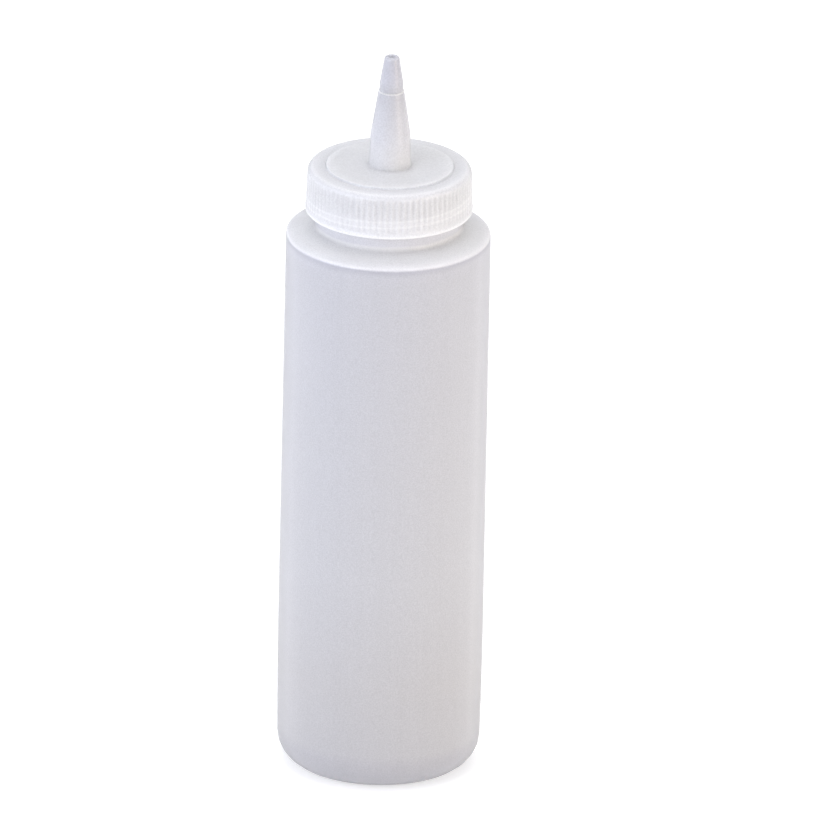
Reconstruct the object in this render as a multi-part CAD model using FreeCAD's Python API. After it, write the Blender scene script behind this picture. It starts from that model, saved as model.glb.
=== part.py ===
"""Squeeze bottle with a screw-on cone-nozzle cap, for dispensing glue.

Three pieces: the blow-moulded bottle, the injection-moulded cap with its nozzle, and the
sealing washer that the cap presses onto the bottle's mouth.
Millimetres. +Z is the bottle's axis and points out of the nozzle; the origin is the centre
of the base, on the plane that the bottle stands on.
"""

import FreeCAD
import Part

import math
import os

from FreeCAD import Vector

# Edges that are only broken, not shaped.
FINE_EDGE = 0.12
SOFT_EDGE = 0.3

# Bottle body: a straight round wall on a drafted foot with a rounded heel.
BODY_RADIUS = 25.0
BODY_WALL = 1.0
DRAFT_TOP = 26.0  # the wall leans in below this height
DRAFT_BLEND = 1200.0  # radius of the very slight bend where it starts to lean
FOOT_RADIUS = 24.55  # where the leaning wall would meet the table
HEEL_ROUNDING = 7.0

# Bottle base: a flat ring to stand on, round a shallow dish.
BASE_WALL = 1.4
STANDING_RING_INNER = 15.2
STANDING_RING_EDGE = 1.5
DISH_RISE = 2.6
DISH_FLAT_RADIUS = 9.0
DISH_BLEND = 9.0

# Bottle top: a low conical shoulder, the neck and its mouth.
SHOULDER_HEIGHT = 138.0
SHOULDER_EDGE = 0.7
SHOULDER_WALL = 1.3
NECK_FOOT_HEIGHT = 140.1
NECK_FILLET = 0.8
NECK_COLLAR_RADIUS = 18.3
NECK_RADIUS = 17.55
NECK_BORE_FLARE = 2.0
MOUTH_RADIUS = 15.75
MOUTH_HEIGHT = 152.8

# Washer: lies on the mouth, wider than the cap's thread, which keeps it in the cap.
WASHER_INNER = 13.8
WASHER_OUTER = 18.2
WASHER_THICKNESS = 0.95
WASHER_GAP = 0.05

# Cap: a ribbed skirt, a flat top and a raised disc.
SKIRT_BOTTOM = MOUTH_HEIGHT - 8.7
SKIRT_BORE = 18.95
SKIRT_RIM_RADIUS = 20.45
SKIRT_RIM_TOP = SKIRT_BOTTOM + 0.9
SKIRT_RADIUS_LOW = 20.30
SKIRT_RADIUS_HIGH = 20.05
CAP_UNDERSIDE = MOUTH_HEIGHT + WASHER_THICKNESS + 2 * WASHER_GAP
CAP_TOP = CAP_UNDERSIDE + 1.4
CAP_EDGE = 1.6
DISC_RADIUS = 15.6
DISC_RISE = 0.55
DISC_TOP = CAP_TOP + DISC_RISE
DISC_WALL = 1.1

# Grip ribs: what is left of the skirt between round upright grooves.
RIB_COUNT = 84
GROOVE_RADIUS = 0.5
GROOVE_DEPTH = 0.22
GROOVE_BOTTOM = SKIRT_RIM_TOP + 0.35
GROOVE_TOP = CAP_TOP - 1.3

# Nozzle: an upright foot, a cone, a small step and the tip's own cone.
NOZZLE_FOOT_RADIUS = 5.2
NOZZLE_FOOT_FILLET = 0.5
WAIST_HEIGHT = DISC_TOP + 7.9
WAIST_RADIUS = 4.9
WAIST_BLEND = 12.0
STEP_HEIGHT = DISC_TOP + 19.4
STEP_RADIUS = 3.12
STEP_INSET = 0.18
BAND_HEIGHT = STEP_HEIGHT + 1.9  # the upright band above the step
BAND_RADIUS = 2.88
TIP_HEIGHT = DISC_TOP + 28.4
TIP_RADIUS = 1.75
TIP_EDGE = 0.7
NOZZLE_WALL = 1.1
ORIFICE_RADIUS = 0.85
ORIFICE_FOOT = TIP_HEIGHT - 6.4
ORIFICE_ENTRY = 1.2  # height of the cone that leads from the duct into the orifice

# Threads: one start, six turns to the inch, right-handed, trapezoid in section.
PITCH = 25.4 / 6
NECK_THREAD_CREST = 18.7
NECK_THREAD_FOOT_HALF = 1.15
NECK_THREAD_CREST_HALF = 0.60
NECK_THREAD_TOP = MOUTH_HEIGHT - 2.35  # the middle of the thread at its upper end
NECK_THREAD_BURIED = NECK_RADIUS - 0.6
CAP_THREAD_CREST = 17.8
CAP_THREAD_FOOT_HALF = 1.05
CAP_THREAD_CREST_HALF = 0.50
CAP_THREAD_BURIED = SKIRT_BORE + 0.4
CAP_THREAD_DROP = 1.65  # the cap's thread runs this far below the neck's
CAP_THREAD_START = 90.0  # degrees along the neck's helix
CAP_THREAD_END = 540.0
THREAD_FADE = 26.0  # degrees over which each end sinks into its wall
THREAD_STEP = 9.0  # degrees between the thread's sections


def corner_arc(before, corner, after, radius):
    """The arc that rounds a corner, as its two ends and the middle point between them."""
    to_before = (before - corner).normalize()
    to_after = (after - corner).normalize()
    half_angle = to_before.getAngle(to_after) / 2
    reach = radius / math.tan(half_angle)
    to_centre = (to_before + to_after).normalize()
    middle = corner + to_centre * (radius / math.sin(half_angle) - radius)
    return corner + to_before * reach, middle, corner + to_after * reach


def outline(corners):
    """A closed wire in the XZ plane through (radius, height, rounding) corners."""
    points = [Vector(radius, 0, height) for radius, height, _ in corners]
    stops = []
    for i, (_, _, rounding) in enumerate(corners):
        if rounding:
            following = points[(i + 1) % len(points)]
            stops.append(corner_arc(points[i - 1], points[i], following, rounding))
        else:
            stops.append((points[i], None, points[i]))
    edges = []
    for i, (start, middle, end) in enumerate(stops):
        if middle:
            edges.append(Part.Arc(start, middle, end).toShape())
        next_start = stops[(i + 1) % len(stops)][0]
        edges.append(Part.LineSegment(end, next_start).toShape())
    return Part.Wire(edges)


def turned(corners):
    """The solid that an outline sweeps round the axis."""
    return Part.Face(outline(corners)).revolve(Vector(0, 0, 0), Vector(0, 0, 1), 360)


def neck_helix(degrees):
    """Height of the neck thread's middle, that many degrees from its lower end."""
    return NECK_THREAD_TOP + PITCH * (degrees / 360 - 1)


def thread(start, end, drop, buried, wall, crest, foot_half, crest_half):
    """A helical rib, from start to end degrees and drop below the neck's helix.

    Its section is a trapezoid, foot_half wide either side at the wall's radius and crest_half
    at the crest's, carried on into the wall to the buried radius. Over the fade at each end
    the crest sinks back to below the wall's surface.
    """
    flank = (foot_half - crest_half) / abs(crest - wall)
    buried_half = foot_half + flank * abs(wall - buried)
    sunk = buried + (wall - buried) * 0.8
    steps = round((end - start) / THREAD_STEP)
    sections = []
    for i in range(steps + 1):
        degrees = start + (end - start) * i / steps
        share = min(1.0, (degrees - start) / THREAD_FADE, (end - degrees) / THREAD_FADE)
        top = sunk + (crest - sunk) * share * share * (3 - 2 * share)
        top_half = buried_half - flank * abs(top - buried)
        out = Vector(math.cos(math.radians(degrees)), math.sin(math.radians(degrees)), 0)
        middle = Vector(0, 0, neck_helix(degrees) - drop)
        rise = Vector(0, 0, 1)
        corners = [
            middle + out * buried - rise * buried_half,
            middle + out * top - rise * top_half,
            middle + out * top + rise * top_half,
            middle + out * buried + rise * buried_half,
        ]
        sections.append(Part.makePolygon(corners + corners[:1]))
    return Part.makeLoft(sections, True)


def bottle_shell():
    """The hollow body, shoulder and plain neck."""
    inner_radius = BODY_RADIUS - BODY_WALL
    floor = DISH_RISE + BASE_WALL
    return turned(
        [
            (0, DISH_RISE, 0),
            (DISH_FLAT_RADIUS, DISH_RISE, DISH_BLEND),
            (STANDING_RING_INNER, 0, STANDING_RING_EDGE),
            (FOOT_RADIUS, 0, HEEL_ROUNDING),
            (BODY_RADIUS, DRAFT_TOP, DRAFT_BLEND),
            (BODY_RADIUS, SHOULDER_HEIGHT, SHOULDER_EDGE),
            (NECK_COLLAR_RADIUS, NECK_FOOT_HEIGHT, NECK_FILLET),
            (NECK_COLLAR_RADIUS, SKIRT_BOTTOM - 0.2, SOFT_EDGE),
            (NECK_RADIUS, SKIRT_BOTTOM + 0.5, SOFT_EDGE),
            (NECK_RADIUS, MOUTH_HEIGHT, SOFT_EDGE),
            (MOUTH_RADIUS, MOUTH_HEIGHT, SOFT_EDGE),
            (MOUTH_RADIUS, NECK_FOOT_HEIGHT - 0.4, NECK_BORE_FLARE),
            (inner_radius, SHOULDER_HEIGHT - SHOULDER_WALL, SHOULDER_EDGE + SOFT_EDGE),
            (inner_radius, DRAFT_TOP, DRAFT_BLEND),
            (FOOT_RADIUS - BODY_WALL, BASE_WALL, HEEL_ROUNDING - BODY_WALL),
            (STANDING_RING_INNER, BASE_WALL, STANDING_RING_EDGE + BASE_WALL),
            (DISH_FLAT_RADIUS, floor, DISH_BLEND - BASE_WALL),
            (0, floor, 0),
        ]
    )


def bottle():
    """The bottle with the thread on its neck."""
    rib = thread(
        start=0,
        end=360,
        drop=0,
        buried=NECK_THREAD_BURIED,
        wall=NECK_RADIUS,
        crest=NECK_THREAD_CREST,
        foot_half=NECK_THREAD_FOOT_HALF,
        crest_half=NECK_THREAD_CREST_HALF,
    )
    return bottle_shell().fuse(rib)


def seal_washer():
    """The flat ring between the bottle's mouth and the cap's underside."""
    bottom = MOUTH_HEIGHT + WASHER_GAP
    top = bottom + WASHER_THICKNESS
    return turned(
        [
            (WASHER_INNER, bottom, FINE_EDGE),
            (WASHER_OUTER, bottom, FINE_EDGE),
            (WASHER_OUTER, top, FINE_EDGE),
            (WASHER_INNER, top, FINE_EDGE),
        ]
    )


def cap_shell():
    """The skirt, top, raised disc and hollow nozzle, all one wall."""
    disc_underside = DISC_TOP - DISC_WALL
    duct_top = ORIFICE_FOOT - ORIFICE_ENTRY
    return turned(
        [
            (SKIRT_BORE, SKIRT_BOTTOM, SOFT_EDGE),
            (SKIRT_RIM_RADIUS, SKIRT_BOTTOM, SOFT_EDGE),
            (SKIRT_RIM_RADIUS, SKIRT_RIM_TOP, FINE_EDGE),
            (SKIRT_RADIUS_LOW, SKIRT_RIM_TOP + 0.25, FINE_EDGE),
            (SKIRT_RADIUS_HIGH, CAP_TOP, CAP_EDGE),
            (DISC_RADIUS + 0.2, CAP_TOP, FINE_EDGE),
            (DISC_RADIUS - 0.1, DISC_TOP, SOFT_EDGE),
            (NOZZLE_FOOT_RADIUS, DISC_TOP, NOZZLE_FOOT_FILLET),
            (WAIST_RADIUS, WAIST_HEIGHT, WAIST_BLEND),
            (STEP_RADIUS, STEP_HEIGHT, FINE_EDGE / 2),
            (STEP_RADIUS - STEP_INSET, STEP_HEIGHT + FINE_EDGE, FINE_EDGE / 2),
            (BAND_RADIUS, BAND_HEIGHT, SOFT_EDGE),
            (TIP_RADIUS, TIP_HEIGHT, TIP_EDGE),
            (ORIFICE_RADIUS, TIP_HEIGHT, FINE_EDGE),
            (ORIFICE_RADIUS, ORIFICE_FOOT, SOFT_EDGE),
            (STEP_RADIUS - NOZZLE_WALL, duct_top, SOFT_EDGE),
            (WAIST_RADIUS - NOZZLE_WALL, WAIST_HEIGHT, WAIST_BLEND - NOZZLE_WALL),
            (NOZZLE_FOOT_RADIUS - NOZZLE_WALL, disc_underside, NOZZLE_FOOT_FILLET),
            (DISC_RADIUS - DISC_WALL, disc_underside, SOFT_EDGE),
            (DISC_RADIUS - DISC_WALL + SOFT_EDGE, CAP_UNDERSIDE, FINE_EDGE),
            (SKIRT_BORE, CAP_UNDERSIDE, SOFT_EDGE),
        ]
    )


def grip_grooves():
    """Round upright grooves side by side round the skirt, each with a round upper end."""
    lean = (SKIRT_RADIUS_LOW - SKIRT_RADIUS_HIGH) / (CAP_TOP - SKIRT_RIM_TOP)
    centre_radius = SKIRT_RADIUS_LOW - GROOVE_DEPTH + GROOVE_RADIUS
    length = GROOVE_TOP - GROOVE_BOTTOM
    grooves = []
    for i in range(RIB_COUNT):
        turn = 2 * math.pi * i / RIB_COUNT
        out = Vector(math.cos(turn), math.sin(turn), 0)
        foot = out * centre_radius + Vector(0, 0, GROOVE_BOTTOM)
        along = (Vector(0, 0, 1) - out * lean).normalize()
        grooves.append(Part.makeCylinder(GROOVE_RADIUS, length, foot, along))
        grooves.append(Part.makeSphere(GROOVE_RADIUS, foot + along * length))
    return grooves


def nozzle_cap():
    """The cap with its grip ribs outside and its thread inside."""
    rib = thread(
        start=CAP_THREAD_START,
        end=CAP_THREAD_END,
        drop=CAP_THREAD_DROP,
        buried=CAP_THREAD_BURIED,
        wall=SKIRT_BORE,
        crest=CAP_THREAD_CREST,
        foot_half=CAP_THREAD_FOOT_HALF,
        crest_half=CAP_THREAD_CREST_HALF,
    )
    return cap_shell().cut(grip_grooves()).fuse(rib)


def write(name, shape):
    """Save one piece, which has to be a single closed solid, as a STEP file."""
    (solid,) = shape.Solids
    assert solid.isValid() and solid.isClosed(), name
    solid.exportStep(f"parts/{name}.step")
    box = solid.BoundBox
    print(f"{name}: {solid.Volume:.0f} mm3, from {box.ZMin:.2f} to {box.ZMax:.2f} mm up")


os.makedirs("parts", exist_ok=True)
write("bottle", bottle())
write("seal_washer", seal_washer())
write("nozzle_cap", nozzle_cap())
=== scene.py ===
"""Glue applicator bottle: a milky squeeze bottle, a foam washer and a cone-nozzle screw cap."""

import math

import bpy
import numpy as np
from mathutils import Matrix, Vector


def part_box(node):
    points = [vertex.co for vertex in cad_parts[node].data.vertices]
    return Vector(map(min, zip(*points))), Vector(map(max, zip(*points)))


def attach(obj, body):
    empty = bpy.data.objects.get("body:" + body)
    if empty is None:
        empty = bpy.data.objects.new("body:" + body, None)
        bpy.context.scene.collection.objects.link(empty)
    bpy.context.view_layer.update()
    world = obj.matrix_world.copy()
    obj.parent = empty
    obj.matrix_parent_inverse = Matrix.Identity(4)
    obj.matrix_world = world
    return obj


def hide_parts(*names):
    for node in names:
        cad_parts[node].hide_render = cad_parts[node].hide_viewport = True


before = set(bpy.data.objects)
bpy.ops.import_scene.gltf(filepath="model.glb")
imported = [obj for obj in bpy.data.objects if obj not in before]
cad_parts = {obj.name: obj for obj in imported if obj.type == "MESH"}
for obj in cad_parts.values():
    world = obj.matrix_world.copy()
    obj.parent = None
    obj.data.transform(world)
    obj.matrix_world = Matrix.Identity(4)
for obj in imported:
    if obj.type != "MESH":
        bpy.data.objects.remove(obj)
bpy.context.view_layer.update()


# The bottle: one piece of natural low-density polyethylene, blow-moulded from a soft tube shut
# between two mould halves. That leaves a fine parting line up both sides and a pinched seam
# under the base. The neck is thicker, and carries one turn of thread for the cap.

MM = 0.001
bottle_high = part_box("bottle")[1]
mouth_height = bottle_high.z
PARTING_LINE_HEIGHT = 0.05 * MM
PARTING_LINE_WIDTH = 0.25 * MM
PINCH_SEAM_HEIGHT = 0.35 * MM
PINCH_SEAM_WIDTH = 0.5 * MM
PINCH_SEAM_REACH = 12.5 * MM
PINCH_SEAM_FADE = 3 * MM
body_radius = min(bottle_high.x, bottle_high.y) - PARTING_LINE_HEIGHT
BODY_WALL = 1.0 * MM
DRAFT_TOP = 26.0 * MM
DRAFT_BLEND = 1200 * MM
DRAFT = 0.45 * MM
foot_radius = body_radius - DRAFT
HEEL_ROUNDING = 7.0 * MM
BASE_WALL = 1.4 * MM
STANDING_RING_INNER = 15.2 * MM
STANDING_RING_EDGE = 1.5 * MM
DISH_RISE = 2.6 * MM
DISH_FLAT_RADIUS = 9.0 * MM
DISH_BLEND = 9.0 * MM
shoulder_height = mouth_height - 14.8 * MM
SHOULDER_EDGE = 0.7 * MM
SHOULDER_WALL = 1.3 * MM
neck_foot = mouth_height - 12.7 * MM
NECK_FILLET = 0.8 * MM
COLLAR_RADIUS = 18.3 * MM
collar_top = mouth_height - 8.9 * MM
COLLAR_SLOPE = 0.7 * MM
NECK_RADIUS = 17.55 * MM
MOUTH_RADIUS = 15.75 * MM
INNER_NECK_DROP = 0.4 * MM
INNER_NECK_ROUNDING = 2.0 * MM
SOFT_EDGE = 0.3 * MM
HAIR = SOFT_EDGE / 100
ARC_STEP = math.radians(15)
BOTTLE_COLUMNS = 240
INCH = 25.4 * MM
PITCH = INCH / 6
THREAD_FADE = math.radians(26)
THREAD_BELOW_MOUTH = 2.35 * MM
NECK_THREAD_DEPTH = 1.15 * MM
NECK_THREAD_FOOT = 1.15 * MM
NECK_THREAD_CREST = 0.6 * MM


def outline(corners, closed):
    """Radii and heights of the rows along an outline of (radius, height, rounding, steps) corners.

    The arc at a corner touches both its sides, rounding / tan(half the angle between them) from
    the corner; its points are its first point turned about its centre by equal shares of the
    turn. The straight side after the corner is cut into its number of equal steps.
    """
    table = np.array(corners, dtype=float)
    points = table[:, :2]
    rounding = table[:, 2:3]
    back = np.roll(points, 1, axis=0) - points
    ahead = np.roll(points, -1, axis=0) - points
    back /= np.linalg.norm(back, axis=1, keepdims=True)
    ahead /= np.linalg.norm(ahead, axis=1, keepdims=True)
    half = np.arccos((back * ahead).sum(axis=1, keepdims=True)) / 2
    reach = rounding / np.tan(half)
    inwards = back + ahead
    inwards /= np.linalg.norm(inwards, axis=1, keepdims=True)
    centre = points + inwards * rounding / np.sin(half)
    spoke = points + back * reach - centre
    turn = np.sign(ahead[:, :1] * back[:, 1:] - ahead[:, 1:] * back[:, :1]) * (math.pi - 2 * half)
    rows = []
    for i, (_, _, corner_rounding, steps) in enumerate(corners):
        arc_steps = max(2, round(abs(turn[i, 0]) / ARC_STEP)) if corner_rounding else 0
        angle = turn[i] * np.linspace(0, 1, arc_steps + 1)[:, None]
        across = spoke[i, 0] * np.cos(angle) - spoke[i, 1] * np.sin(angle)
        up = spoke[i, 0] * np.sin(angle) + spoke[i, 1] * np.cos(angle)
        rows.append(centre[i] + np.hstack([across, up]))
        following = (i + 1) % len(corners)
        if closed or following:
            leaving = points[i] + ahead[i] * reach[i]
            arriving = points[following] + back[following] * reach[following]
            rows.append(leaving + (arriving - leaving) * np.arange(1, steps)[:, None] / steps)
    rows = np.vstack(rows)
    return rows[:, :1], rows[:, 1:]


def turned_piece(name, angles, radii, heights):
    """A round wall: every row of the grid is a ring of points at (r cos a, r sin a, z).

    The rows go up the outside, so that the faces look out of the wall. Either the last row
    joins the first, or both are on the axis, and each is a fan of triangles about one point.
    """
    on_axis = radii[0, 0] < HAIR
    poles = np.array([[0, 0, heights[0, 0]], [0, 0, heights[-1, 0]]])
    if on_axis:
        radii = radii[1:-1]
        heights = heights[1:-1]
    rings, columns = radii.shape
    points = np.stack([radii * np.cos(angles), radii * np.sin(angles), heights], axis=2)
    points = points.reshape(-1, 3)
    row = np.arange(rings - on_axis)[:, None] * columns
    above = (row + columns) % (rings * columns)
    column = np.arange(columns)
    beside = (column + 1) % columns
    quads = np.stack([row + column, row + beside, above + beside, above + column], axis=2)
    faces = quads.reshape(-1, 4).tolist()
    if on_axis:
        first_pole = len(points)
        top_row = (rings - 1) * columns
        points = np.vstack([points, poles])
        pole = np.full(columns, first_pole)
        faces += np.stack([pole, beside, column], axis=1).tolist()
        faces += np.stack([pole + 1, top_row + column, top_row + beside], axis=1).tolist()
    mesh = bpy.data.meshes.new(name)
    mesh.from_pydata(points.tolist(), [], faces)
    mesh.shade_smooth()
    piece = bpy.data.objects.new(name, mesh)
    bpy.context.scene.collection.objects.link(piece)
    return piece


def thread_relief(angles, heights, start, end, start_height, depth, foot_half, crest_half):
    """How far a thread stands off its wall at each angle and height.

    Its middle climbs one pitch a turn from start_height, where the angle is 0. The relief is the
    full depth within crest_half of the middle, falls in a straight flank to nothing at
    foot_half, and grows from each end, start and end radians round, by the smooth step
    3s^2 - 2s^3.
    """
    relief = np.zeros(np.broadcast_shapes(angles.shape, heights.shape))
    for turn in range(math.ceil(end / (2 * math.pi))):
        along = angles + 2 * math.pi * turn
        away = np.abs(heights - start_height - PITCH * along / (2 * math.pi))
        flank = np.clip((foot_half - away) / (foot_half - crest_half), 0, 1)
        share = np.clip(np.minimum(along - start, end - along) / THREAD_FADE, 0, 1)
        relief = np.maximum(relief, depth * flank * share * share * (3 - 2 * share))
    return relief


inner_radius = body_radius - BODY_WALL
floor_height = DISH_RISE + BASE_WALL
bottle_r, bottle_z = outline(
    [
        (0, DISH_RISE, 0, 6),
        (DISH_FLAT_RADIUS, DISH_RISE, DISH_BLEND, 4),
        (STANDING_RING_INNER, 0, STANDING_RING_EDGE, 2),
        (foot_radius, 0, HEEL_ROUNDING, 3),
        (body_radius, DRAFT_TOP, DRAFT_BLEND, 22),
        (body_radius, shoulder_height, SHOULDER_EDGE, 4),
        (COLLAR_RADIUS, neck_foot, NECK_FILLET, 3),
        (COLLAR_RADIUS, collar_top, SOFT_EDGE, 2),
        (NECK_RADIUS, collar_top + COLLAR_SLOPE, SOFT_EDGE, 62),
        (NECK_RADIUS, mouth_height, SOFT_EDGE, 2),
        (MOUTH_RADIUS, mouth_height, SOFT_EDGE, 5),
        (MOUTH_RADIUS, neck_foot - INNER_NECK_DROP, INNER_NECK_ROUNDING, 4),
        (inner_radius, shoulder_height - SHOULDER_WALL, SHOULDER_EDGE + SOFT_EDGE, 22),
        (inner_radius, DRAFT_TOP, DRAFT_BLEND, 3),
        (foot_radius - BODY_WALL, BASE_WALL, HEEL_ROUNDING - BODY_WALL, 2),
        (STANDING_RING_INNER, BASE_WALL, STANDING_RING_EDGE + BASE_WALL, 3),
        (DISH_FLAT_RADIUS, floor_height, DISH_BLEND - BASE_WALL, 6),
        (0, floor_height, 0, 1),
    ],
    closed=False,
)
# Extra columns crowd about the two sides where the mould halves met.
even_columns = np.arange(BOTTLE_COLUMNS) * 2 * math.pi / BOTTLE_COLUMNS
beside_seam = np.array([0, 0.004, 0.008, 0.013, 0.02, 0.03, 0.05, 0.08])
about_seam = np.concatenate([beside_seam, -beside_seam])
bottle_angles = np.concatenate([even_columns, about_seam, math.pi + about_seam])
bottle_angles = np.unique(np.round(bottle_angles % (2 * math.pi), 6))
outside = np.arange(len(bottle_z))[:, None] <= np.argmax(bottle_z)
on_neck = outside & (np.abs(bottle_r - NECK_RADIUS) < HAIR)
neck_thread_start = mouth_height - THREAD_BELOW_MOUTH - PITCH
neck_thread = thread_relief(
    bottle_angles,
    bottle_z,
    0,
    2 * math.pi,
    neck_thread_start,
    NECK_THREAD_DEPTH,
    NECK_THREAD_FOOT,
    NECK_THREAD_CREST,
)
off_seam = bottle_r * np.abs(np.sin(bottle_angles))
parting_line = PARTING_LINE_HEIGHT * np.exp(-((off_seam / PARTING_LINE_WIDTH) ** 2))
on_wall = outside & (bottle_r > STANDING_RING_INNER)
radii = bottle_r + on_neck * neck_thread + on_wall * parting_line
pinch_fade = np.clip((PINCH_SEAM_REACH - bottle_r) / PINCH_SEAM_FADE, 0, 1)
pinch_seam = PINCH_SEAM_HEIGHT * np.exp(-((off_seam / PINCH_SEAM_WIDTH) ** 2)) * pinch_fade
heights = bottle_z - outside * pinch_seam
bottle = turned_piece("squeeze_bottle", bottle_angles, radii, heights)


def natural_polyethylene(name, tones, clearness, scatter, roughness, grain, grain_depth):
    """Unpigmented polyethylene: milky, because light scatters in the wall, and part clear.

    The tones are given (height, colour) pairs from the lowest up, blended in straight lines
    between; besides the plastic's own colour they hold painted shade and painted highlights. Noise
    as fine as the grain, and a second noise drawn out along the axis, as the melt flowed, mottle
    them; noise is taken to run from NOISE_LOW to NOISE_HIGH. A vertex attribute whitens what lies
    outside a thread: painted light for the thread seen through the wall, with a painted highlight
    along each flank. A wall seen edge on is darkened with painted shade.
    """
    material = bpy.data.materials.new(name)
    material.use_nodes = True
    nodes = material.node_tree.nodes
    links = material.node_tree.links
    plastic = nodes["Principled BSDF"]
    place = nodes.new("ShaderNodeTexCoord").outputs["Object"]

    lowest = tones[0][0]
    highest = tones[-1][0]
    axes = nodes.new("ShaderNodeSeparateXYZ")
    links.new(place, axes.inputs["Vector"])
    climb = nodes.new("ShaderNodeMapRange")
    climb.inputs["From Min"].default_value = lowest
    climb.inputs["From Max"].default_value = highest
    links.new(axes.outputs["Z"], climb.inputs["Value"])
    ramp = nodes.new("ShaderNodeValToRGB")
    stops = ramp.color_ramp.elements
    for height, colour in tones[1:-1]:
        stops.new((height - lowest) / (highest - lowest))
    for stop, (height, colour) in zip(stops, tones):
        stop.color = (*colour, 1)
    links.new(climb.outputs["Result"], ramp.inputs["Fac"])

    speckle = nodes.new("ShaderNodeTexNoise")
    speckle.inputs["Scale"].default_value = 1 / grain
    speckle.inputs["Detail"].default_value = 3
    links.new(place, speckle.inputs["Vector"])
    stretch = nodes.new("ShaderNodeMapping")
    stretch.inputs["Scale"].default_value = (1 / STREAK_WIDTH, 1 / STREAK_WIDTH, 1 / STREAK_LENGTH)
    links.new(place, stretch.inputs["Vector"])
    streak = nodes.new("ShaderNodeTexNoise")
    streak.inputs["Scale"].default_value = 1
    streak.inputs["Detail"].default_value = 4
    links.new(stretch.outputs["Vector"], streak.inputs["Vector"])
    both = nodes.new("ShaderNodeMath")
    both.operation = "MULTIPLY_ADD"
    both.inputs[1].default_value = STREAK_SHARE
    links.new(streak.outputs["Fac"], both.inputs[0])
    links.new(speckle.outputs["Fac"], both.inputs[2])
    shade = nodes.new("ShaderNodeMapRange")
    shade.inputs["From Min"].default_value = NOISE_LOW + NOISE_MIDDLE * STREAK_SHARE
    shade.inputs["From Max"].default_value = NOISE_HIGH + NOISE_MIDDLE * STREAK_SHARE
    shade.inputs["To Min"].default_value = 1 - MOTTLE
    links.new(both.outputs["Value"], shade.inputs["Value"])
    mottle = nodes.new("ShaderNodeMix")
    mottle.data_type = "RGBA"
    mottle.blend_type = "MULTIPLY"
    mottle.inputs["Factor"].default_value = 1
    links.new(ramp.outputs["Color"], mottle.inputs["A"])
    links.new(shade.outputs["Result"], mottle.inputs["B"])
    # Painted light: the vertex attribute whitens the wall over a thread, the thread seen through
    # it, with a painted highlight along each flank.
    painted_thread_light = nodes.new("ShaderNodeAttribute")
    painted_thread_light.attribute_name = "painted_thread_light"
    whiten = nodes.new("ShaderNodeMix")
    whiten.data_type = "RGBA"
    whiten.inputs["B"].default_value = (1, 1, 1, 1)
    links.new(painted_thread_light.outputs["Fac"], whiten.inputs["Factor"])
    links.new(mottle.outputs["Result"], whiten.inputs["A"])
    # Painted shade: the colour darkens towards 1 - RIM_SHADE where the wall is seen edge on.
    slant = nodes.new("ShaderNodeLayerWeight")
    slant.inputs["Blend"].default_value = 0.5
    rim = nodes.new("ShaderNodeMapRange")
    rim.inputs["From Min"].default_value = RIM_START
    rim.inputs["To Min"].default_value = 1
    rim.inputs["To Max"].default_value = 1 - RIM_SHADE
    links.new(slant.outputs["Facing"], rim.inputs["Value"])
    darken = nodes.new("ShaderNodeMix")
    darken.data_type = "RGBA"
    darken.blend_type = "MULTIPLY"
    darken.inputs["Factor"].default_value = 1
    links.new(whiten.outputs["Result"], darken.inputs["A"])
    links.new(rim.outputs["Result"], darken.inputs["B"])
    links.new(darken.outputs["Result"], plastic.inputs["Base Color"])

    gloss = nodes.new("ShaderNodeMapRange")
    gloss.inputs["From Min"].default_value = NOISE_LOW
    gloss.inputs["From Max"].default_value = NOISE_HIGH
    gloss.inputs["To Min"].default_value = roughness - ROUGHNESS_SPREAD
    gloss.inputs["To Max"].default_value = roughness + ROUGHNESS_SPREAD
    links.new(speckle.outputs["Fac"], gloss.inputs["Value"])
    links.new(gloss.outputs["Result"], plastic.inputs["Roughness"])
    bump = nodes.new("ShaderNodeBump")
    bump.inputs["Strength"].default_value = 0.35
    bump.inputs["Distance"].default_value = grain_depth
    links.new(speckle.outputs["Fac"], bump.inputs["Height"])
    links.new(bump.outputs["Normal"], plastic.inputs["Normal"])

    plastic.inputs["IOR"].default_value = 1.51
    plastic.inputs["Coat Weight"].default_value = 0.25
    plastic.inputs["Coat Roughness"].default_value = 0.16
    plastic.inputs["Transmission Weight"].default_value = clearness
    plastic.inputs["Subsurface Weight"].default_value = 1
    plastic.inputs["Subsurface Radius"].default_value = (1, 1, 1)
    plastic.inputs["Subsurface Scale"].default_value = scatter
    return material


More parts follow.
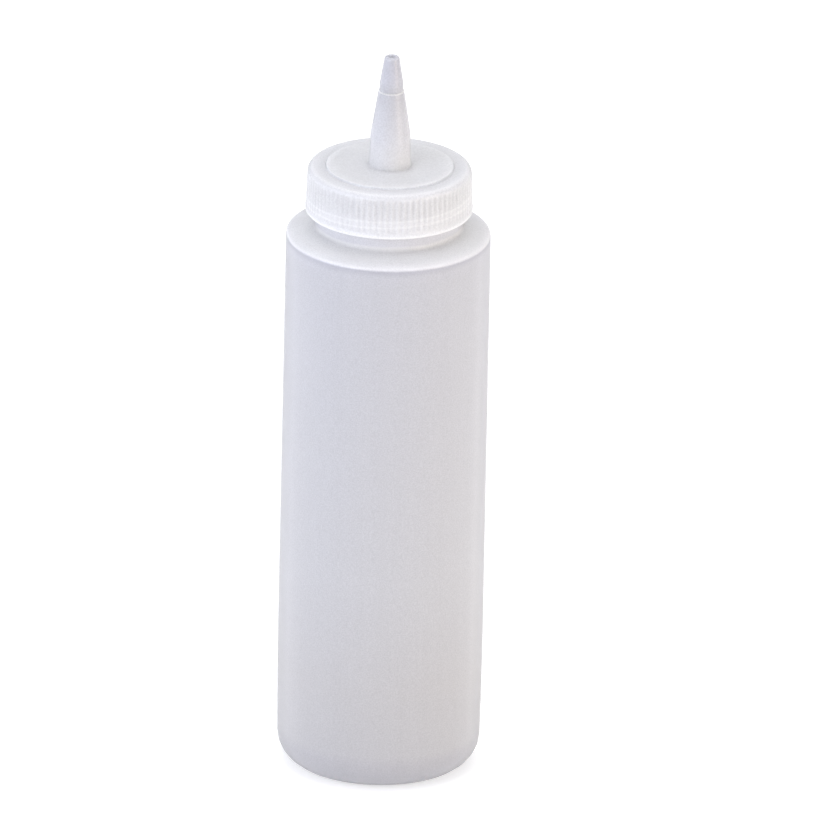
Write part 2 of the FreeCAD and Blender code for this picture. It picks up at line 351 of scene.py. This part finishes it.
NOISE_LOW = 0.3
NOISE_MIDDLE = 0.5
NOISE_HIGH = 0.7
ROUGHNESS_SPREAD = 0.05
MOTTLE = 0.16
STREAK_WIDTH = 4 * MM
STREAK_LENGTH = 110 * MM
STREAK_SHARE = 0.15
HEEL_TOP = 7.5 * MM
RIM_START = 0.6
RIM_SHADE = 0.42
bottle.data.materials.append(
    natural_polyethylene(
        "frosted bottle polyethylene",
        tones=[
            # Darker towards the bottom, with painted shade at the heel where the wall curves
            # under.
            (0, (0.41, 0.405, 0.44)),
            (0.5 * HEEL_TOP, (0.45, 0.445, 0.475)),
            (HEEL_TOP, (0.53, 0.52, 0.55)),
            (HEEL_TOP + 2 * MM, (0.575, 0.565, 0.585)),
            (DRAFT_TOP, (0.605, 0.59, 0.605)),
            (55 * MM, (0.65, 0.645, 0.68)),
            # Painted shade and light: a dark line just under the shoulder's edge, the shoulder,
            # which faces up, lighter, and a painted highlight at the foot of the neck.
            (shoulder_height - 2.2 * MM, (0.64, 0.64, 0.70)),
            (shoulder_height - 0.6 * MM, (0.46, 0.46, 0.51)),
            (shoulder_height - 0.1 * MM, (0.79, 0.785, 0.82)),
            (shoulder_height + 0.8 * MM, (0.95, 0.945, 0.97)),
            (neck_foot + 0.6 * MM, (1.0, 0.995, 1.0)),
            (neck_foot + 1.4 * MM, (0.71, 0.71, 0.75)),
            (mouth_height, (0.78, 0.78, 0.82)),
        ],
        clearness=0.05,
        scatter=5 * MM,
        roughness=0.38,
        grain=0.32 * MM,
        grain_depth=0.02 * MM,
    )
)
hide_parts("bottle")
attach(bottle, "bottle")


# The washer: a flat ring punched from white polyethylene foam. It lies loose between the mouth
# and the cap's underside, and the cap's thread keeps it in the cap.

washer_low, washer_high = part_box("seal_washer")
washer_radius = min(washer_high.x, washer_high.y)
WASHER_INNER = 13.8 * MM
WASHER_EDGE = 0.12 * MM
WASHER_COLUMNS = 120
FOAM_CELL = 0.35 * MM
FOAM_DENT = 0.05 * MM
washer_angles = np.arange(WASHER_COLUMNS) * 2 * math.pi / WASHER_COLUMNS
washer_r, washer_z = outline(
    [
        (WASHER_INNER, washer_low.z, WASHER_EDGE, 6),
        (washer_radius, washer_low.z, WASHER_EDGE, 2),
        (washer_radius, washer_high.z, WASHER_EDGE, 6),
        (WASHER_INNER, washer_high.z, WASHER_EDGE, 2),
    ],
    closed=True,
)
flat = np.zeros_like(washer_angles)
washer = turned_piece("foam_washer", washer_angles, washer_r + flat, washer_z + flat)


def white_foam(name):
    """Closed-cell foam: Voronoi cells about a third of a millimetre across dent and shade it."""
    material = bpy.data.materials.new(name)
    material.use_nodes = True
    nodes = material.node_tree.nodes
    links = material.node_tree.links
    foam = nodes["Principled BSDF"]
    place = nodes.new("ShaderNodeTexCoord").outputs["Object"]
    cells = nodes.new("ShaderNodeTexVoronoi")
    cells.inputs["Scale"].default_value = 1 / FOAM_CELL
    links.new(place, cells.inputs["Vector"])
    shade = nodes.new("ShaderNodeMix")
    shade.data_type = "RGBA"
    shade.inputs["A"].default_value = (0.93, 0.93, 0.92, 1)
    shade.inputs["B"].default_value = (0.80, 0.80, 0.80, 1)
    links.new(cells.outputs["Distance"], shade.inputs["Factor"])
    links.new(shade.outputs["Result"], foam.inputs["Base Color"])
    bump = nodes.new("ShaderNodeBump")
    bump.invert = True
    bump.inputs["Strength"].default_value = 0.5
    bump.inputs["Distance"].default_value = FOAM_DENT
    links.new(cells.outputs["Distance"], bump.inputs["Height"])
    links.new(bump.outputs["Normal"], foam.inputs["Normal"])
    foam.inputs["Roughness"].default_value = 0.8
    return material


washer.data.materials.append(white_foam("white washer foam"))
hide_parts("seal_washer")
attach(washer, "washer")


# The cap: one injection moulding of the same polyethylene, a little glossier than the bottle.
# A ribbed skirt with the thread inside, a top with a raised disc, and the hollow cone nozzle,
# which steps in a little below the tip. It screws onto the neck and holds the washer over it.

cap_low, cap_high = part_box("nozzle_cap")
skirt_bottom = cap_low.z
tip_height = cap_high.z
skirt_rim_radius = min(cap_high.x, cap_high.y)
SKIRT_BORE = 18.95 * MM
skirt_rim_top = skirt_bottom + 0.9 * MM
RIM_SLOPE = 0.25 * MM
SKIRT_RADIUS_LOW = 20.30 * MM
SKIRT_RADIUS_HIGH = 20.05 * MM
cap_underside = mouth_height + 1.05 * MM
cap_top = cap_underside + 1.4 * MM
CAP_EDGE = 1.6 * MM
DISC_RADIUS = 15.6 * MM
DISC_FOOT_FLARE = 0.2 * MM
DISC_TOP_INSET = 0.1 * MM
disc_top = cap_top + 0.55 * MM
DISC_WALL = 1.1 * MM
disc_underside = disc_top - DISC_WALL
FINE_EDGE = 0.12 * MM
NOZZLE_FOOT_RADIUS = 5.2 * MM
NOZZLE_FOOT_FILLET = 0.5 * MM
waist_height = disc_top + 7.9 * MM
WAIST_RADIUS = 4.9 * MM
WAIST_BLEND = 12 * MM
step_height = disc_top + 19.4 * MM
STEP_RADIUS = 3.12 * MM
STEP_INSET = 0.18 * MM
BAND_RADIUS = 2.88 * MM
band_top = step_height + 1.9 * MM
TIP_RADIUS = 1.75 * MM
TIP_EDGE = 0.7 * MM
NOZZLE_WALL = 1.1 * MM
ORIFICE_RADIUS = 0.85 * MM
orifice_foot = tip_height - 6.4 * MM
bore_top = orifice_foot - 1.2 * MM
cap_r, cap_z = outline(
    [
        (SKIRT_BORE, skirt_bottom, SOFT_EDGE, 2),
        (skirt_rim_radius, skirt_bottom, SOFT_EDGE, 2),
        (skirt_rim_radius, skirt_rim_top, FINE_EDGE, 1),
        (SKIRT_RADIUS_LOW, skirt_rim_top + RIM_SLOPE, FINE_EDGE, 30),
        (SKIRT_RADIUS_HIGH, cap_top, CAP_EDGE, 2),
        (DISC_RADIUS + DISC_FOOT_FLARE, cap_top, FINE_EDGE, 1),
        (DISC_RADIUS - DISC_TOP_INSET, disc_top, SOFT_EDGE, 3),
        (NOZZLE_FOOT_RADIUS, disc_top, NOZZLE_FOOT_FILLET, 3),
        (WAIST_RADIUS, waist_height, WAIST_BLEND, 5),
        (STEP_RADIUS, step_height, FINE_EDGE / 2, 1),
        (STEP_RADIUS - STEP_INSET, step_height + FINE_EDGE, FINE_EDGE / 2, 1),
        (BAND_RADIUS, band_top, SOFT_EDGE, 3),
        (TIP_RADIUS, tip_height, TIP_EDGE, 1),
        (ORIFICE_RADIUS, tip_height, FINE_EDGE, 4),
        (ORIFICE_RADIUS, orifice_foot, SOFT_EDGE, 1),
        (STEP_RADIUS - NOZZLE_WALL, bore_top, SOFT_EDGE, 4),
        (WAIST_RADIUS - NOZZLE_WALL, waist_height, WAIST_BLEND - NOZZLE_WALL, 3),
        (NOZZLE_FOOT_RADIUS - NOZZLE_WALL, disc_underside, NOZZLE_FOOT_FILLET, 3),
        (DISC_RADIUS - DISC_WALL, disc_underside, SOFT_EDGE, 1),
        (DISC_RADIUS - DISC_WALL + SOFT_EDGE, cap_underside, FINE_EDGE, 2),
        (SKIRT_BORE, cap_underside, SOFT_EDGE, 50),
    ],
    closed=True,
)
RIB_COUNT = 84
COLUMNS_PER_RIB = 5
GROOVE_RADIUS = 0.5 * MM
GROOVE_DEPTH = 0.22 * MM
groove_bottom = skirt_rim_top + 0.35 * MM
groove_top = cap_top - 0.9 * MM
GROOVE_END = 0.6 * MM
cap_columns = RIB_COUNT * COLUMNS_PER_RIB
cap_angles = np.arange(cap_columns) * 2 * math.pi / cap_columns


def groove_relief(angles, radii, heights):
    """How deep the grip grooves are cut at each point of the skirt.

    Across, a groove is the arc of a circle whose centre stands out beyond the skirt, so the depth
    at x from its middle is sqrt(r^2 - x^2) - (r - d). Up it, the depth grows from each end by
    the smooth step 3s^2 - 2s^3.
    """
    pitch = 2 * math.pi / RIB_COUNT
    across = radii * ((angles + pitch / 2) % pitch - pitch / 2)
    arc = np.sqrt(np.clip(GROOVE_RADIUS**2 - across**2, 0, None)) - (GROOVE_RADIUS - GROOVE_DEPTH)
    share = np.clip(np.minimum(heights - groove_bottom, groove_top - heights) / GROOVE_END, 0, 1)
    return np.clip(arc, 0, None) * share * share * (3 - 2 * share)


CAP_THREAD_DEPTH = 1.15 * MM
CAP_THREAD_FOOT = 1.05 * MM
CAP_THREAD_CREST = 0.5 * MM
CAP_THREAD_DROP = 1.65 * MM
CAP_THREAD_START = math.radians(90)
CAP_THREAD_END = math.radians(540)
SKIN = 0.6 * MM
on_skirt = (cap_r > SKIRT_RADIUS_HIGH - SKIN) & (cap_z > groove_bottom)
in_bore = np.abs(cap_r - SKIRT_BORE) < HAIR
cap_thread = thread_relief(
    cap_angles,
    cap_z,
    CAP_THREAD_START,
    CAP_THREAD_END,
    neck_thread_start - CAP_THREAD_DROP,
    CAP_THREAD_DEPTH,
    CAP_THREAD_FOOT,
    CAP_THREAD_CREST,
)
radii = cap_r - on_skirt * groove_relief(cap_angles, cap_r, cap_z) - in_bore * cap_thread
cap = turned_piece("nozzle_cap_moulding", cap_angles, radii, cap_z + np.zeros_like(cap_angles))
# The thread seen through the skirt is painted light: a pale band, with a painted highlight along
# each flank.
PAINTED_BAND_LIGHT = 0.08
PAINTED_FLANK_HIGHLIGHT = 1.2
band = on_skirt * cap_thread / CAP_THREAD_DEPTH
whiteness = PAINTED_BAND_LIGHT * band + PAINTED_FLANK_HIGHLIGHT * band * (1 - band)
painted_thread_light = cap.data.attributes.new("painted_thread_light", "FLOAT", "POINT")
painted_thread_light.data.foreach_set("value", whiteness.ravel())
cap.data.materials.append(
    natural_polyethylene(
        "satin cap polyethylene",
        tones=[
            # Painted highlight: a white line along the bottom of the skirt.
            (skirt_bottom, (1.0, 1.0, 1.0)),
            (skirt_bottom + 0.3 * MM, (1.0, 1.0, 1.0)),
            (skirt_rim_top, (0.79, 0.79, 0.81)),
            (cap_top - CAP_EDGE, (0.79, 0.79, 0.815)),
            # Painted shade and light on the top: darker at the rounding of its edge and round the
            # foot and edge of the disc, lighter on the top, and brightest on the disc, which faces
            # up.
            (cap_top - 0.4 * MM, (0.70, 0.70, 0.725)),
            (cap_top, (0.86, 0.855, 0.88)),
            (cap_top + 0.15 * MM, (0.70, 0.70, 0.73)),
            (disc_top - 0.1 * MM, (0.70, 0.70, 0.73)),
            (disc_top, (0.99, 0.985, 1.0)),
            # Darker up the nozzle towards the tip, with a painted highlight ringing the step.
            (waist_height, (0.73, 0.73, 0.78)),
            (step_height - 0.25 * MM, (0.59, 0.59, 0.64)),
            (step_height, (1.0, 1.0, 1.0)),
            (step_height + 0.25 * MM, (0.58, 0.58, 0.63)),
            (tip_height, (0.48, 0.48, 0.525)),
        ],
        clearness=0.05,
        scatter=4.5 * MM,
        roughness=0.36,
        grain=0.4 * MM,
        grain_depth=0.01 * MM,
    )
)
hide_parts("nozzle_cap")
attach(cap, "cap")


# The floor: a sheet of plain white card under and behind the bottle. It gives off a little light
# of its own, which keeps the shadow at the heel faint.

FLOOR_REACH = 2.5
floor_mesh = bpy.data.meshes.new("floor")
floor_sides = [(-1, -1), (1, -1), (1, 1), (-1, 1)]
floor_corners = [(x * FLOOR_REACH, y * FLOOR_REACH, 0) for x, y in floor_sides]
floor_mesh.from_pydata(floor_corners, [], [(0, 1, 2, 3)])
floor = bpy.data.objects.new("floor", floor_mesh)
bpy.context.scene.collection.objects.link(floor)
card = bpy.data.materials.new("white card")
card.use_nodes = True
paper = card.node_tree.nodes["Principled BSDF"].inputs
paper["Base Color"].default_value = (0.65, 0.65, 0.65, 1)
paper["Roughness"].default_value = 0.9
paper["Emission Color"].default_value = (1, 1, 1, 1)
paper["Emission Strength"].default_value = 0.5
floor_mesh.materials.append(card)


# The light: a cool soft panel to the left, a warmer, lower one to the right, a large one
# overhead, and an even pale room.


def softbox(name, place, aim, width, power, colour):
    """A square panel of light at place, facing aim: width in metres, power in watts."""
    light = bpy.data.lights.new(name, "AREA")
    light.size = width
    light.energy = power
    light.color = colour
    panel = bpy.data.objects.new(name, light)
    direction = np.array(aim) - np.array(place)
    direction = direction / np.linalg.norm(direction)
    panel.location = place
    tilt = math.acos(-direction[2])
    turn = math.atan2(direction[0], -direction[1]) + math.pi
    panel.rotation_euler = (tilt, 0, turn)
    bpy.context.scene.collection.objects.link(panel)


MIDDLE = (0, 0, 0.09)
softbox("cool panel", (-0.7, -0.6, 0.5), MIDDLE, 0.6, 3.9, (0.80, 0.84, 1.0))
softbox("warm panel", (0.8, -0.55, 0.25), MIDDLE, 0.5, 2.8, (1.0, 0.83, 0.66))
softbox("overhead panel", (0, 0.1, 1.0), MIDDLE, 0.9, 3.1, (1.0, 1.0, 1.0))
room = bpy.data.worlds.new("pale room")
room.use_nodes = True
walls = room.node_tree.nodes["Background"].inputs
walls["Color"].default_value = (0.95, 0.96, 1.0, 1)
walls["Strength"].default_value = 0.8
bpy.context.scene.world = room
bpy.context.scene.view_settings.view_transform = "Standard"
# Enough bounces for light to cross both walls of the bottle and come out again.
cycles = bpy.context.scene.cycles
cycles.max_bounces = 24
cycles.diffuse_bounces = 16
cycles.glossy_bounces = 16
cycles.transmission_bounces = 24


# The camera: it looks down at the bottle with no perspective, as a very long lens nearly does.

CAMERA_ELEVATION = math.radians(22)
CAMERA_ROLL = math.radians(1.17)
PICTURE_WIDTH = 204.9 * MM
PICTURE_MIDDLE_ACROSS = 10.3 * MM
PICTURE_MIDDLE_UP = 82.0 * MM
CAMERA_DISTANCE = 1.5
level_across = np.array([1, 0, 0])
level_up = np.array([0, math.sin(CAMERA_ELEVATION), math.cos(CAMERA_ELEVATION)])
across = math.cos(CAMERA_ROLL) * level_across + math.sin(CAMERA_ROLL) * level_up
up = math.cos(CAMERA_ROLL) * level_up - math.sin(CAMERA_ROLL) * level_across
behind = np.cross(across, up)
eye = across * PICTURE_MIDDLE_ACROSS + up * PICTURE_MIDDLE_UP + behind * CAMERA_DISTANCE
camera_data = bpy.data.cameras.new("camera")
camera_data.type = "ORTHO"
camera_data.ortho_scale = PICTURE_WIDTH
camera = bpy.data.objects.new("camera", camera_data)
turn_and_place = np.eye(4)
turn_and_place[:3, 0] = across
turn_and_place[:3, 1] = up
turn_and_place[:3, 2] = behind
turn_and_place[:3, 3] = eye
camera.matrix_world = turn_and_place.T.tolist()
bpy.context.scene.collection.objects.link(camera)
bpy.context.scene.camera = camera
